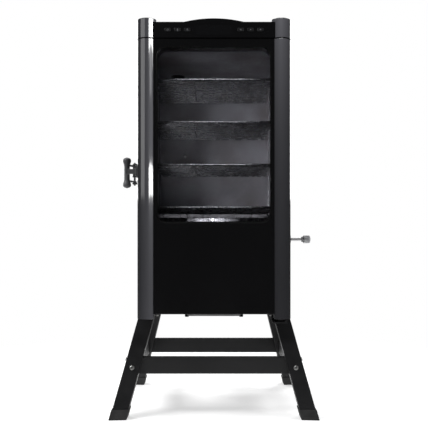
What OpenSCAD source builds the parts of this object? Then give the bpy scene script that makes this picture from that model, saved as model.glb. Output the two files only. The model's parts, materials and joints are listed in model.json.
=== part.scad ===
// Electric cabinet smoker on a splayed four-legged stand.
// Origin: on the floor under the middle of the stand. +Z is up, -Y is the front, +X the viewer's right.

/* [Cabinet] */
// Width over the two door columns and the side walls
body_w = 440; // [436:1:444]
// Depth of the insulated box, without its door
body_d = 370; // [366:1:374]
// Height of the cabinet floor above the ground
body_bottom = 292; // [288:1:296]
// Height of the cabinet roof above the ground
body_top = 1118; // [1116:1:1122]
// Insulated wall thickness, from outer sheet to liner
wall = 36; // [34:1:38]
// Thickness of the outer sheet metal
sheet = 1.6; // [1.2:0.1:2]
// Thickness of the inner liner sheet
liner = 1.2; // [1:0.1:1.6]
// Height of the cooking chamber's floor
chamber_bottom = 322; // [320:1:326]
// Height of the cooking chamber's ceiling
chamber_top = 1060; // [1056:1:1062]

/* [Door] */
// Radius of the round columns at the door's edges
column_r = 28; // [27:0.5:29]
// Lower end of the door panel
door_bottom = 296; // [294:1:298]
// Upper end of the door, just under the control head
door_top = 1080; // [1078:1:1081]
// How far the columns stand proud of the door panel
column_proud = 6; // [4:1:8]
// Half width of the window opening
window_half = 164; // [160:1:165]
// Lower edge of the window opening
window_bottom = 556; // [550:1:560]
// Upper edge of the window opening
window_top = 1058; // [1052:1:1064]
// Corner radius of the window
window_r = 28; // [16:1:30]
// Radius of the hinge pins at the right-hand column
hinge_pin_r = 5; // [4:0.5:6]

/* [Control head] */
// Upper edge of the control head between its humps
head_top = 1128; // [1126:1:1130]
// Rise of the middle hump and of the two column tops
hump = 10; // [8:1:12]
// Half width of the middle hump
hump_half = 84; // [76:1:90]
// Width of one push button
button_w = 18; // [14:1:20]
// Height of one push button
button_h = 10; // [8:1:12]

/* [Racks] */
// Height of the top cooking rack
top_rack = 983; // [981:1:985]
// Distance from one cooking rack down to the next
rack_step = 126; // [125:0.5:126]
// Height of the shelf that holds the water bowl
shelf_z = 584; // [582:1:586]
// Radius of the rack's frame rod
rack_rod = 3; // [2.5:0.5:3.5]
// Radius of the rack's cooking wires
rack_wire = 1.75; // [1.5:0.25:2]
// Distance between neighbouring wires
wire_pitch = 17; // [16:1:24]

/* [Stand] */
// Side of the square leg tube
leg_side = 44; // [40:1:45]
// Distance of a leg's upper end from the middle, across
leg_top_x = 198; // [196:1:198]
// Distance of a leg's upper end from the middle, in depth
leg_top_y = 150; // [148:1:152]
// Distance of a leg's foot from the middle, across
leg_foot_x = 272; // [264:1:280]
// Distance of a leg's foot from the middle, in depth
leg_foot_y = 238; // [230:1:244]
// Lower edge of the stand's cross bars
bar_bottom = 120; // [112:1:128]
// Height of the cross bars
bar_h = 48; // [44:1:56]
// Thickness of the cross bars
bar_t = 22; // [18:1:24]

/* [Wood chip loader] */
// Height of the loader's axis
loader_z = 511; // [508:1:511]
// Distance of the loader's axis in front of the middle of the cabinet
loader_ahead = 100; // [90:1:104]
// Outer radius of the loader's scoop
scoop_r = 22.5; // [21:0.5:23]

/* [Hidden] */
$fn = 64;

half_w = body_w / 2;
front = -body_d / 2;
back = body_d / 2;
chamber_half = half_w - wall;
chamber_back = back - 30;
through = 60;
gap = 0.2;

// The door: columns, panel and liner planes, counted from the hinge axis
column_x = half_w - column_r;
column_y = front - 6 - column_r;
column_bottom = door_bottom - 14;
bracket_z = column_bottom - 12;
column_front = column_y - column_r;
panel_half = column_x - 20;
panel_front = column_front + column_proud;
panel_back = column_y + column_r;
door_back = panel_back + sheet;
seal_out = column_x + 3;
seal_in = chamber_half + 2;
glass_t = 4;

head_bottom = door_top + 3;
head_wall = 3;
button_rows = [-132, -104, -76, 76, 104, 132];
button_z = (head_bottom + head_top) / 2;
lens_half = 52;
lens_h = 30;

vent = [-120, 105];
vent_r = 22;
damper_pin = [-84, 105];
drain = [0, 60];
drain_r = 12;

rack_levels = [for (i = [0 : 3]) top_rack - i * rack_step];
element_z = 390;
element_half = 70;
element_r = 4;
probe_x = -100;
probe_z = 800;
cover_half = 100;
cover_z = [340, 440];
cover_deep = 18;
cord_x = 140;
cord_z = 340;
cord_r = 4.5;
grease_rail_x = 92;
grease_rail_z = 262;

leg_top = [leg_top_x, leg_top_y];
leg_foot = [leg_foot_x, leg_foot_y];
bar_z = bar_bottom + bar_h / 2;
plate_top = body_bottom;
plate_t = 4;
leg_start = plate_top - plate_t;
leg_reach = [leg_foot[0] - leg_top[0], leg_foot[1] - leg_top[1], -leg_start];
leg_len = norm(leg_reach);
lean_x = asin(leg_reach[1] / leg_len);
lean_y = atan2(-leg_reach[0], -leg_reach[2]);
leg_wall = 2;
cap_floor = 6;
cap_h = 28;
bar_along = (leg_start - bar_z) * leg_len / leg_start;
bolt_r = 4;
bolt_offset = 11;
plate_half = 34;
plate_in = 40;
screw_in = 31;
screw_apart = 25;

latch_z = 704;
latch_pivot = [-half_w - 16, front + 32];
latch_grip = [-half_w - 34, front - 5];
latch_half = 45;
keeper_at = [-half_w - 11, column_y];

loader_y = -loader_ahead;
loader_back = 64;
loader_face = half_w + 6;
spindle_reach = 46;
knob_l = 22;
chips_z = [loader_z - 39, loader_z + 27];

// ---------- helpers ----------

module block(x, y, z) {
  translate([x[0], y[0], z[0]]) cube([x[1] - x[0], y[1] - y[0], z[1] - z[0]]);
}

// A rod of radius r from point a, length l along the named axis
module rod(axis, a, l, r) {
  turn = axis == "x" ? [0, 90, 0] : axis == "y" ? [-90, 0, 0] : [0, 0, 0];
  translate(a) rotate(turn) cylinder(r = r, h = l);
}

module round_rect(x, y, r) {
  translate([x[0] + r, y[0]]) square([x[1] - x[0] - 2 * r, y[1] - y[0]]);
  translate([x[0], y[0] + r]) square([x[1] - x[0], y[1] - y[0] - 2 * r]);
  for (cx = [x[0] + r, x[1] - r], cy = [y[0] + r, y[1] - r])
    translate([cx, cy]) circle(r);
}

// A plate standing in the X-Z plane between two depths, with round corners
module upright(x, z, y, r) {
  translate([0, y[1], 0]) rotate([90, 0, 0]) linear_extrude(y[1] - y[0]) round_rect(x, z, r);
}

// A tray lying flat, open at the top, with round corners
module tray(x, y, z, t, r) {
  difference() {
    translate([0, 0, z[0]]) linear_extrude(z[1] - z[0]) round_rect(x, y, r);
    translate([0, 0, z[0] + t]) linear_extrude(z[1] - z[0])
      round_rect([x[0] + t, x[1] - t], [y[0] + t, y[1] - t], r - t);
  }
}

// ---------- stand ----------

// Moves a shape drawn at a leg's upper end, pointing down, to the leg on the given sides
module at_leg(side_x, side_y) {
  mirror([side_x < 0 ? 1 : 0, 0, 0]) mirror([0, side_y < 0 ? 1 : 0, 0])
    translate([leg_top[0], leg_top[1], leg_start]) rotate([lean_x, lean_y, 0]) children();
}

module leg_core(half, from, to) {
  translate([-half, -half, -to]) cube([2 * half, 2 * half, to - from]);
}

// Bolt line through a leg: across for the front and rear bars, in depth for the side bars
module bar_bolt_line(across, r, from, to) {
  shift = across ? -bolt_offset : bolt_offset;
  translate([0, 0, -bar_along - shift])
    rotate(across ? [0, 90, 0] : [-90, 0, 0]) translate([0, 0, from]) cylinder(r = r, h = to - from);
}

// Screw line through a leg's top plate, beside the tube on its inner side
module plate_screw_line(side_x, side_y, s, z, l, r) {
  rod("z", [side_x * (leg_top[0] - screw_in), side_y * leg_top[1] + s * screw_apart, z], l, r);
}

module leg(side_x, side_y) {
  difference() {
    union() {
      intersection() {
        at_leg(side_x, side_y) difference() {
          leg_core(leg_side / 2, -through, leg_len + through);
          leg_core(leg_side / 2 - leg_wall, -through - 1, leg_len + through + 1);
        }
        block([-400, 400], [-400, 400], [cap_floor, leg_start]);
      }
      mirror([side_x < 0 ? 1 : 0, 0, 0])
        block([leg_top[0] - plate_in, half_w],
          [side_y * leg_top[1] - plate_half, side_y * leg_top[1] + plate_half], [leg_start, plate_top]);
    }
    at_leg(side_x, side_y) {
      bar_bolt_line(true, bolt_r + gap, -leg_side, leg_side);
      bar_bolt_line(false, bolt_r + gap, -leg_side, leg_side);
    }
    for (s = [-1, 1]) plate_screw_line(side_x, side_y, s, leg_start - 1, plate_t + 2, 3.2);
  }
}

module leg_front_left() color("#1b1b1d") leg(-1, -1);
module leg_front_right() color("#1b1b1d") leg(1, -1);
module leg_rear_left() color("#1b1b1d") leg(-1, 1);
module leg_rear_right() color("#1b1b1d") leg(1, 1);

module foot_caps() color("#141414")
  for (sx = [-1, 1], sy = [-1, 1])
    difference() {
      intersection() {
        at_leg(sx, sy) leg_core(leg_side / 2 + 2.5, leg_len - cap_h * 2, leg_len + through);
        block([-400, 400], [-400, 400], [0, cap_h]);
      }
      intersection() {
        at_leg(sx, sy) leg_core(leg_side / 2, 0, leg_len + through);
        block([-400, 400], [-400, 400], [cap_floor, cap_h + 10]);
      }
    }

// Everything from a leg's inner face outwards, to trim a bar's ends flat against the leg
module leg_side_cut(across) {
  for (sx = [-1, 1], sy = [-1, 1])
    at_leg(sx, sy)
      if (across) translate([-leg_side / 2, -100, -leg_len]) cube([200, 200, leg_len]);
      else translate([-100, -leg_side / 2, -leg_len]) cube([200, 200, leg_len]);
}

// A hollow cross bar with closed ends that the bolts hold
module cross_bar(across, side) {
  t = (leg_start - bar_z) / leg_start;
  place = side * (leg_top[across ? 1 : 0] + leg_reach[across ? 1 : 0] * t);
  thick = [place - bar_t / 2, place + bar_t / 2];
  inner = [thick[0] + 2, thick[1] - 2];
  core = (across ? leg_top[0] : leg_top[1]) + 2;
  difference() {
    if (across) block([-300, 300], thick, [bar_bottom, bar_bottom + bar_h]);
    else block(thick, [-300, 300], [bar_bottom, bar_bottom + bar_h]);
    leg_side_cut(across);
    if (across) block([-core, core], inner, [bar_bottom + 2, bar_bottom + bar_h - 2]);
    else block(inner, [-core, core], [bar_bottom + 2, bar_bottom + bar_h - 2]);
    for (s = [-1, 1]) at_leg(across ? s : side, across ? side : s)
      bar_bolt_line(across, bolt_r + gap, -leg_side, 0);
  }
}

module stand_bar_front() color("#1b1b1d") cross_bar(true, -1);
module stand_bar_rear() color("#1b1b1d") cross_bar(true, 1);
module stand_bars_side() color("#1b1b1d") for (s = [-1, 1]) cross_bar(false, s);

module stand_bolts() color("#8c8e92") {
  for (sx = [-1, 1], sy = [-1, 1]) {
    at_leg(sx, sy) for (across = [true, false]) {
      bar_bolt_line(across, bolt_r, -leg_side / 2 - 14, leg_side / 2 + 0.5);
      bar_bolt_line(across, 7, leg_side / 2, leg_side / 2 + 4.5);
    }
    for (s = [-1, 1]) {
      plate_screw_line(sx, sy, s, leg_start - 0.5, plate_t + 6, 3);
      plate_screw_line(sx, sy, s, leg_start - 3.5, 3.5, 5);
    }
  }
}

// ---------- cabinet ----------

module wall_holes() {
  rod("z", [vent[0], vent[1], chamber_top - through], through + 100, vent_r + 2 + gap);
  rod("z", [drain[0], drain[1], body_bottom - 10], through, drain_r + gap);
  rod("x", [chamber_half - 10, loader_y, loader_z], wall + 30, scoop_r + 3.5 + gap);
  for (x = [-element_half, element_half])
    rod("y", [x, chamber_back - 5, element_z], through, element_r + gap);
  rod("y", [probe_x, chamber_back - 5, probe_z], through, 3.2);
  for (sx = [-1, 1], sy = [-1, 1], s = [-1, 1])
    plate_screw_line(sx, sy, s, body_bottom - 1, 10, 3.2);
}

module outer_shell() color("#161617") difference() {
  block([-half_w, half_w], [front, back], [body_bottom, body_top]);
  block([-half_w + sheet, half_w - sheet], [front - 1, back + 1], [body_bottom - 1, body_top - sheet]);
  wall_holes();
}

module back_panel() color("#1d1d1f") difference() {
  block([-half_w + sheet, half_w - sheet], [back - sheet, back], [body_bottom + sheet, body_top - sheet]);
  wall_holes();
  for (z = [360, 420], x = [-92, 92]) rod("y", [x, back - 5, z], 10, 1.7);
  rod("y", [cord_x, back - 5, cord_z], 10, 11 + gap);
}

module bottom_panel() color("#1d1d1f") difference() {
  block([-half_w + sheet, half_w - sheet], [front, back], [body_bottom, body_bottom + sheet]);
  wall_holes();
}

module insulation() color("#d8c98a") difference() {
  block([-half_w + sheet, half_w - sheet], [front + sheet, back - sheet],
    [body_bottom + sheet, body_top - sheet]);
  block([-chamber_half - liner, chamber_half + liner], [front, chamber_back + liner],
    [chamber_bottom - liner, chamber_top + liner]);
  wall_holes();
  rod("y", [cord_x, back - 20, cord_z], 25, 14);
}

module inner_liner() color("#8f9194") difference() {
  block([-chamber_half - liner, chamber_half + liner], [front + sheet, chamber_back + liner],
    [chamber_bottom - liner, chamber_top + liner]);
  block([-chamber_half, chamber_half], [front, chamber_back], [chamber_bottom, chamber_top]);
  wall_holes();
}

module face_frame() color("#202022") difference() {
  block([-half_w + sheet, half_w - sheet], [front, front + sheet],
    [body_bottom + sheet, body_top - sheet]);
  block([-chamber_half, chamber_half], [front - 1, front + sheet + 1], [chamber_bottom, chamber_top]);
}

// One side's rack supports: two posts against the liner and a ledge under each rack
module rail_side() {
  post_x = [chamber_half - 1.5, chamber_half];
  for (y = [-130, 95]) block(post_x, [y, y + 20], [shelf_z - 30, rack_levels[0] + 20]);
  for (z = concat([shelf_z], [for (level = rack_levels) level - rack_rod]))
    block([chamber_half - 11, chamber_half - 1], [-160, 140], [z - 2.3, z - 0.3]);
}

module rack_rails() color("#a9abae") {
  rail_side();
  mirror([1, 0, 0]) rail_side();
}

bowl_x = [-104, 104];
bowl_y = [-92, 58];

module bowl_shelf() color("#b6b8bb") difference() {
  union() {
    block([-chamber_half + 4, chamber_half - 4], [-140, 120], [shelf_z - 0.3, shelf_z + 1.2]);
    block([-chamber_half + 16, chamber_half - 16], [-140, -138.5], [shelf_z - 9, shelf_z + 1.2]);
    block([-chamber_half + 16, chamber_half - 16], [118.5, 120], [shelf_z - 9, shelf_z + 1.2]);
  }
  translate([0, 0, shelf_z - 20]) linear_extrude(40)
    round_rect([bowl_x[0] - 1, bowl_x[1] + 1], [bowl_y[0] - 1, bowl_y[1] + 1], 31);
  for (x = [-150, -130, 130, 150], y = [-100, -50, 0, 50])
    rod("z", [x, y, shelf_z - 20], 40, 6);
}

module vent_collar() color("#2a2a2c") difference() {
  union() {
    rod("z", [vent[0], vent[1], chamber_top - 2], body_top - chamber_top + 4, vent_r + 2);
    translate([0, 0, body_top]) linear_extrude(2)
      round_rect([vent[0] - 32, damper_pin[0] + 10], [vent[1] - 32, vent[1] + 32], 10);
    rod("z", [damper_pin[0], damper_pin[1], body_top], 6.5, 2.5);
    rod("z", [damper_pin[0], damper_pin[1], body_top + 6.2], 1.8, 5);
  }
  rod("z", [vent[0], vent[1], chamber_top - 5], body_top, vent_r);
}

module damper_plate() color("#3a3a3d") difference() {
  union() {
    rod("z", [vent[0], vent[1], body_top + 2.4], 2, vent_r + 4);
    block([vent[0], damper_pin[0]], [vent[1] - 8, vent[1] + 8], [body_top + 2.4, body_top + 4.4]);
    rod("z", [damper_pin[0], damper_pin[1], body_top + 2.4], 2, 8);
    rod("z", [vent[0] - 14, vent[1], body_top + 4.4], 9, 6);
  }
  rod("z", [damper_pin[0], damper_pin[1], body_top], 10, 2.55);
}

module rear_cover() color("#242426") difference() {
  block([-cover_half, cover_half], [back, back + cover_deep], cover_z);
  block([-cover_half + 1.5, cover_half - 1.5], [back - 1, back + cover_deep - 1.5],
    [cover_z[0] + 1.5, cover_z[1] - 1.5]);
  for (i = [0 : 5])
    block([-60, 60], [back + 10, back + 20], [cover_z[0] + 16 + i * 12, cover_z[0] + 20 + i * 12]);
}

module cable_gland() color("#101010") difference() {
  union() {
    rod("y", [cord_x, back - 6, cord_z], 6, 11);
    rod("y", [cord_x, back, cord_z], 5, 15);
    rod("y", [cord_x, back + 5, cord_z], 13, 9);
  }
  rod("y", [cord_x, back - 7, cord_z], 40, cord_r);
}

element_reach = -40;

module heating_element() color("#5b5552") {
  for (x = [-element_half, element_half]) {
    rod("y", [x, element_reach, element_z], back + 6 - element_reach, element_r);
    rod("y", [x, back + 5.5, element_z], 8, 2.5);
  }
  translate([0, element_reach, element_z]) rotate([0, 0, 180])
    rotate_extrude(angle = 180) translate([element_half, 0]) circle(element_r);
}

module temp_probe() color("#b9bbbe") {
  rod("y", [probe_x, 105, probe_z], back - 105, 3);
  translate([probe_x, chamber_back - 5, probe_z]) rotate([-90, 0, 0])
    cylinder(r = 7, h = 4.9, $fn = 6);
}

module chip_housing() color("#707275") difference() {
  block([loader_back - 3, chamber_half], [loader_y - 32, loader_y + 32], [chips_z[0], chips_z[1]]);
  block([loader_back - 1.5, chamber_half + 1], [loader_y - 30.5, loader_y + 30.5],
    [chips_z[0] + 1.5, chips_z[1] - 1.5]);
  for (x = [90 : 24 : 162], y = [-20, 0, 20]) rod("z", [x, loader_y + y, chips_z[0] - 5], 10, 4);
  for (x = [90 : 24 : 162]) rod("z", [x, loader_y, chips_z[1] - 10], 20, 5);
}

module grease_rails() color("#1d1d1f")
  for (s = [-1, 1]) mirror([s < 0 ? 1 : 0, 0, 0]) {
    block([grease_rail_x, grease_rail_x + 2], [10, back - 10], [grease_rail_z + 2, body_bottom]);
    block([grease_rail_x - 10, grease_rail_x + 1], [10, back - 10],
      [grease_rail_z, grease_rail_z + 2]);
    block([grease_rail_x + 1, grease_rail_x + 18], [10, back - 10], [body_bottom - 2, body_bottom]);
  }

// An angle screwed to the cabinet's front, with a boss for the lower hinge pin
module hinge_bracket() color("#2c2c2e") difference() {
  union() {
    block([column_x - 24, column_x + 18], [column_y - 16, front], [bracket_z, bracket_z + 4]);
    block([column_x - 24, column_x + 18], [front - 3, front], [bracket_z, door_bottom + 1]);
    rod("z", [column_x, column_y, bracket_z + 3], 5, 11);
  }
  rod("z", [column_x, column_y, bracket_z - 1], 20, hinge_pin_r);
}

module hinge_pins() color("#b9bbbe") {
  rod("z", [column_x, column_y, bracket_z], 24, hinge_pin_r);
  rod("z", [column_x, column_y, door_top - 12], 24, hinge_pin_r);
}

// ---------- latch ----------

module latch_base() color("#a9abae") difference() {
  union() {
    block([-half_w - 2.5, -half_w], [front + 10, front + 66], [latch_z - 40, latch_z + 40]);
    for (z = [latch_z - 30, latch_z + 26]) {
      block([latch_pivot[0], -half_w - 2], [latch_pivot[1] - 7, latch_pivot[1] + 7], [z, z + 4]);
      rod("z", [latch_pivot[0], latch_pivot[1], z], 4, 7);
    }
    for (z = [latch_z - 34, latch_z + 34])
      rod("x", [-half_w - 4.5, front + 56, z], 2.5, 4);
  }
  rod("z", [latch_pivot[0], latch_pivot[1], latch_z - 50], 100, 3.05);
}

// A flat web from the lever's pivot to its grip
module latch_web(z) {
  reach = latch_grip - latch_pivot;
  rod("z", [latch_pivot[0], latch_pivot[1], z], 4, 6);
  translate([latch_pivot[0], latch_pivot[1], z]) rotate([0, 0, atan2(reach[1], reach[0])])
    translate([0, -6, 0]) cube([norm(reach), 12, 4]);
}

module latch_lever() color("#1a1a1b") {
  rod("z", [latch_grip[0], latch_grip[1], latch_z - latch_half], 2 * latch_half, 9.5);
  for (z = [latch_z - latch_half, latch_z + latch_half - 22])
    rod("z", [latch_grip[0], latch_grip[1], z], 22, 12);
  for (z = [latch_z - 25, latch_z + 21]) latch_web(z);
  rod("z", [latch_pivot[0], latch_pivot[1], latch_z - 34], 68, 3);
  // The claw reaches forwards and turns in ahead of the keeper's rod
  block([latch_grip[0] + 2, latch_grip[0] + 8], [keeper_at[1] - 8.5, latch_grip[1]],
    [latch_z - 7, latch_z + 7]);
  block([latch_grip[0] + 2, keeper_at[0] + 4], [keeper_at[1] - 8.5, keeper_at[1] - 3.5],
    [latch_z - 7, latch_z + 7]);
}

module latch_keeper() color("#c4c6c9") {
  difference() {
    block([-half_w - 4, -half_w + 8], [column_y - 9, column_y + 9], [latch_z - 16, latch_z + 16]);
    rod("z", [-column_x, column_y, latch_z - 30], 60, column_r);
  }
  for (z = [latch_z - 16, latch_z + 13])
    block([keeper_at[0] - 3, -half_w - 3], [column_y - 3, column_y + 3], [z, z + 3]);
  rod("z", [keeper_at[0], keeper_at[1], latch_z - 14], 28, 2.5);
}

// ---------- control head ----------

module head_outline() {
  translate([-panel_half - 4, head_bottom]) square([2 * panel_half + 8, head_top - head_bottom]);
  // A shallow arch over the display
  intersection() {
    translate([0, head_top + hump - 365]) circle(365, $fn = 200);
    translate([-hump_half, head_top - 5]) square([2 * hump_half, 40]);
  }
}

module button_hole(x, grow, y) {
  upright([x - button_w / 2 - grow, x + button_w / 2 + grow],
    [button_z - button_h / 2 - grow, button_z + button_h / 2 + grow], y, 3);
}

module control_head() color("#0d0d0e") difference() {
  union() {
    translate([0, front, 0]) rotate([90, 0, 0]) linear_extrude(front - panel_front) head_outline();
    for (s = [-1, 1]) {
      rod("z", [s * column_x, column_y, head_bottom], head_top + hump - head_bottom, column_r);
      block(s < 0 ? [-column_x, -panel_half] : [panel_half, column_x], [column_y, front],
        [head_bottom, head_top]);
    }
  }
  block([-panel_half, panel_half], [panel_front + head_wall, front + 1],
    [head_bottom + head_wall, head_top - head_wall]);
  upright([-lens_half, lens_half], [button_z - lens_h / 2, button_z + lens_h / 2],
    [panel_front - 1, panel_front + 1.4], 4);
  upright([-lens_half + 4, lens_half - 4], [button_z - lens_h / 2 + 4, button_z + lens_h / 2 - 4],
    [panel_front - 1, panel_front + 10], 2);
  for (x = button_rows) button_hole(x, 0.4, [panel_front - 1, panel_front + 10]);
  rod("z", [column_x, column_y, head_bottom - 1], 10, hinge_pin_r);
}

module display_lens() color("#050506")
  upright([-lens_half + gap, lens_half - gap],
    [button_z - lens_h / 2 + gap, button_z + lens_h / 2 - gap],
    [panel_front - 0.2, panel_front + 1.4], 4);

module circuit_board() color("#1f4a2c") {
  block([-panel_half + 6, panel_half - 6], [panel_front + 8.4, panel_front + 10],
    [button_z - 16, button_z + 16]);
  block([-40, 40], [panel_front + 4, panel_front + 8.5], [button_z - 9, button_z + 9]);
}

module button(index) color("#3b3c3f") {
  x = button_rows[index];
  button_hole(x, 0, [panel_front - 1.6, panel_front + head_wall + 0.4]);
  upright([x - button_w / 2 - 2, x + button_w / 2 + 2], [button_z - button_h / 2 - 2,
    button_z + button_h / 2 + 2], [panel_front + head_wall + 0.3, panel_front + head_wall + 2.3], 2);
}

// ---------- door ----------

module window_hole(grow, y) {
  upright([-window_half - grow, window_half + grow], [window_bottom - grow, window_top + grow], y,
    window_r + grow);
}

module door_skin() color("#0e0e0f") difference() {
  block([-panel_half, panel_half], [panel_front, panel_back], [door_bottom, door_top]);
  block([-panel_half + sheet, panel_half - sheet], [panel_front + sheet, panel_back + 1],
    [door_bottom + sheet, door_top - sheet]);
  window_hole(0, [panel_front - 1, panel_front + 4]);
}

// The part of a round column outside the door panel
module column(side) {
  cut = side < 0 ? [-panel_half, 0] : [0, panel_half];
  difference() {
    rod("z", [side * column_x, column_y, column_bottom], door_top - column_bottom, column_r);
    rod("z", [side * column_x, column_y, column_bottom - 1], door_top, column_r - 2);
    block(cut, [column_front - 1, panel_back + 1], [column_bottom - 1, door_top + 1]);
  }
}

module door_column_left() color("#6e7074") column(-1);
module door_column_right() color("#6e7074") column(1);

module column_caps() color("#1a1a1b")
  for (s = [-1, 1], z = [column_bottom, door_top - 12])
    difference() {
      rod("z", [s * column_x, column_y, z], 12, column_r - 2);
      block(s < 0 ? [-panel_half, 0] : [0, panel_half], [column_front, panel_back + 1], [z - 1, z + 13]);
      rod("z", [s * column_x, column_y, z - 1], 14, hinge_pin_r + 0.05);
    }

module window_trim() color("#060606") difference() {
  window_hole(0, [panel_front - 1, panel_front + sheet]);
  window_hole(-4, [panel_front - 2, panel_front + 4]);
}

module outer_glass() color("#20262b", 0.35)
  upright([-panel_half + 2, panel_half - 2], [window_bottom - 8, door_top - 2],
    [panel_front + sheet, panel_front + sheet + glass_t], 6);

module inner_glass() color("#20262b", 0.35)
  upright([-window_half - 4, window_half + 4], [window_bottom - 8, window_top + 6],
    [panel_back - glass_t, panel_back], 6);

module door_liner() color("#8f9194") difference() {
  union() {
    upright([-column_x - 10, column_x + 10], [door_bottom + 4, door_top - 2],
      [panel_back, door_back], 6);
    // Tunnel between the two panes
    difference() {
      window_hole(1.2, [panel_front + sheet + glass_t, panel_back - glass_t]);
      window_hole(0, [panel_front, panel_back]);
    }
    // Floor of the glazed part, above the insulation
    block([-window_half + 20, window_half - 20], [panel_back - glass_t - 1, panel_back + 1],
      [window_bottom - 12, window_bottom - 8]);
  }
  window_hole(0, [panel_back - 1, door_back + 1]);
}

module door_insulation() color("#d8c98a")
  block([-panel_half + sheet, panel_half - sheet], [panel_front + sheet, panel_back],
    [door_bottom + sheet, window_bottom - 14]);

module door_seal() color("#26262a") difference() {
  upright([-seal_out, seal_out], [door_bottom + 8, door_top - 5], [door_back, front - 0.5], 10);
  upright([-seal_in, seal_in], [chamber_bottom - 8, chamber_top + 4], [door_back - 1, front + 1], 4);
}

// ---------- racks and trays ----------

rack_half = chamber_half - 7;
rack_y = [-166, 148];

// A frame of thick rod, closely spaced wires side to side and two rods under them
module rack(level) color("#b9bcc0") translate([0, 0, level]) {
  depth = rack_y[1] - rack_y[0];
  middle = (rack_y[0] + rack_y[1]) / 2;
  wires = floor((depth / 2 - 6) / wire_pitch);
  under = wires * wire_pitch + 5;
  for (s = [-1, 1]) {
    rod("y", [s * rack_half, rack_y[0], 0], depth, rack_rod);
    rod("x", [-rack_half, s < 0 ? rack_y[0] : rack_y[1], 0], 2 * rack_half, rack_rod);
    for (y = rack_y) translate([s * rack_half, y, 0]) sphere(rack_rod);
    rod("y", [s * rack_half / 3, middle - under, -2.5], 2 * under, 2);
  }
  for (i = [-wires : wires]) rod("x", [-rack_half, middle + i * wire_pitch, 0], 2 * rack_half, rack_wire);
}

module rack_1() rack(rack_levels[0]);
module rack_2() rack(rack_levels[1]);
module rack_3() rack(rack_levels[2]);
module rack_4() rack(rack_levels[3]);

module water_bowl() color("#c3c5c8") {
  tray(bowl_x, bowl_y, [shelf_z - 35, shelf_z + 3], 1.2, 30);
  translate([0, 0, shelf_z + 1.5]) linear_extrude(1.5) difference() {
    round_rect([bowl_x[0] - 9, bowl_x[1] + 9], [bowl_y[0] - 9, bowl_y[1] + 9], 34);
    round_rect([bowl_x[0] + 1, bowl_x[1] - 1], [bowl_y[0] + 1, bowl_y[1] - 1], 29);
  }
}

module drip_tray() color("#9a9c9f") difference() {
  tray([-chamber_half + 8, chamber_half - 8], [-168, 146], [chamber_bottom + 0.3, chamber_bottom + 16],
    1.2, 10);
  rod("z", [drain[0], drain[1], chamber_bottom - 5], 20, 8);
}

module grease_tray() color("#77797c") {
  tray([-90, 90], [14, back - 4], [264.3, 282], 1.2, 8);
  block([-90, 90], [back - 5, back + 12], [279, 282]);
  block([-40, 40], [back + 10, back + 12], [268, 282]);
}

// ---------- wood chip loader ----------

module loader_flange() color("#1a1a1b") difference() {
  union() {
    rod("x", [chamber_half, loader_y, loader_z], loader_face - chamber_half, scoop_r + 3.5);
    rod("x", [half_w, loader_y, loader_z], loader_face - half_w, 30);
  }
  rod("x", [chamber_half - 1, loader_y, loader_z], loader_face, scoop_r + 0.5);
}

module loader_cap() color("#232325") difference() {
  union() {
    rod("x", [loader_face + 0.3, loader_y, loader_z], 3.2, 28);
    rod("x", [loader_face + 3, loader_y, loader_z], 5, 12);
  }
  rod("x", [loader_face - 1, loader_y, loader_z], 20, 5.05);
}

module loader_scoop() color("#9a9c9f") {
  difference() {
    rod("x", [loader_back + 2, loader_y, loader_z], loader_face - loader_back - 2, scoop_r);
    rod("x", [loader_back + 4, loader_y, loader_z], 108, scoop_r - 1.5);
    block([loader_back + 4, loader_back + 112], [loader_y - 30, loader_y + 30], [loader_z + 2, loader_z + 30]);
    rod("x", [loader_back + 118, loader_y, loader_z], 60, scoop_r - 2);
  }
  rod("x", [loader_back + 110, loader_y, loader_z],
    loader_face - loader_back - 110 + spindle_reach, 5);
}

module loader_knob() color("#c9cacc") difference() {
  union() {
    rod("x", [loader_face + spindle_reach - 5, loader_y, loader_z], 6, 8);
    rod("x", [loader_face + spindle_reach, loader_y, loader_z], knob_l, 12);
  }
  rod("x", [loader_face + spindle_reach - 6, loader_y, loader_z], 6, 5);
}

leg_front_left();
leg_front_right();
leg_rear_left();
leg_rear_right();
foot_caps();
stand_bar_front();
stand_bar_rear();
stand_bars_side();
stand_bolts();
outer_shell();
back_panel();
bottom_panel();
insulation();
inner_liner();
face_frame();
rack_rails();
bowl_shelf();
vent_collar();
rear_cover();
cable_gland();
heating_element();
temp_probe();
chip_housing();
grease_rails();
hinge_bracket();
hinge_pins();
latch_base();
damper_plate();
control_head();
display_lens();
circuit_board();
button(0);  // button_power
button(1);  // button_temp
button(2);  // button_time
button(3);  // button_light
button(4);  // button_up
button(5);  // button_down
door_skin();
door_column_left();
door_column_right();
column_caps();
window_trim();
outer_glass();
inner_glass();
door_liner();
door_insulation();
door_seal();
latch_keeper();
latch_lever();
rack_1();
rack_2();
rack_3();
rack_4();
loader_flange();
loader_cap();
loader_scoop();
loader_knob();
water_bowl();
drip_tray();
grease_tray();
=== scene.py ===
"""Studio scene of an electric cabinet smoker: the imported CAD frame, its finishes and its detailed pieces."""
import json
import math

import bmesh
import bpy
import numpy as np
from mathutils import Matrix, Vector

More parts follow.
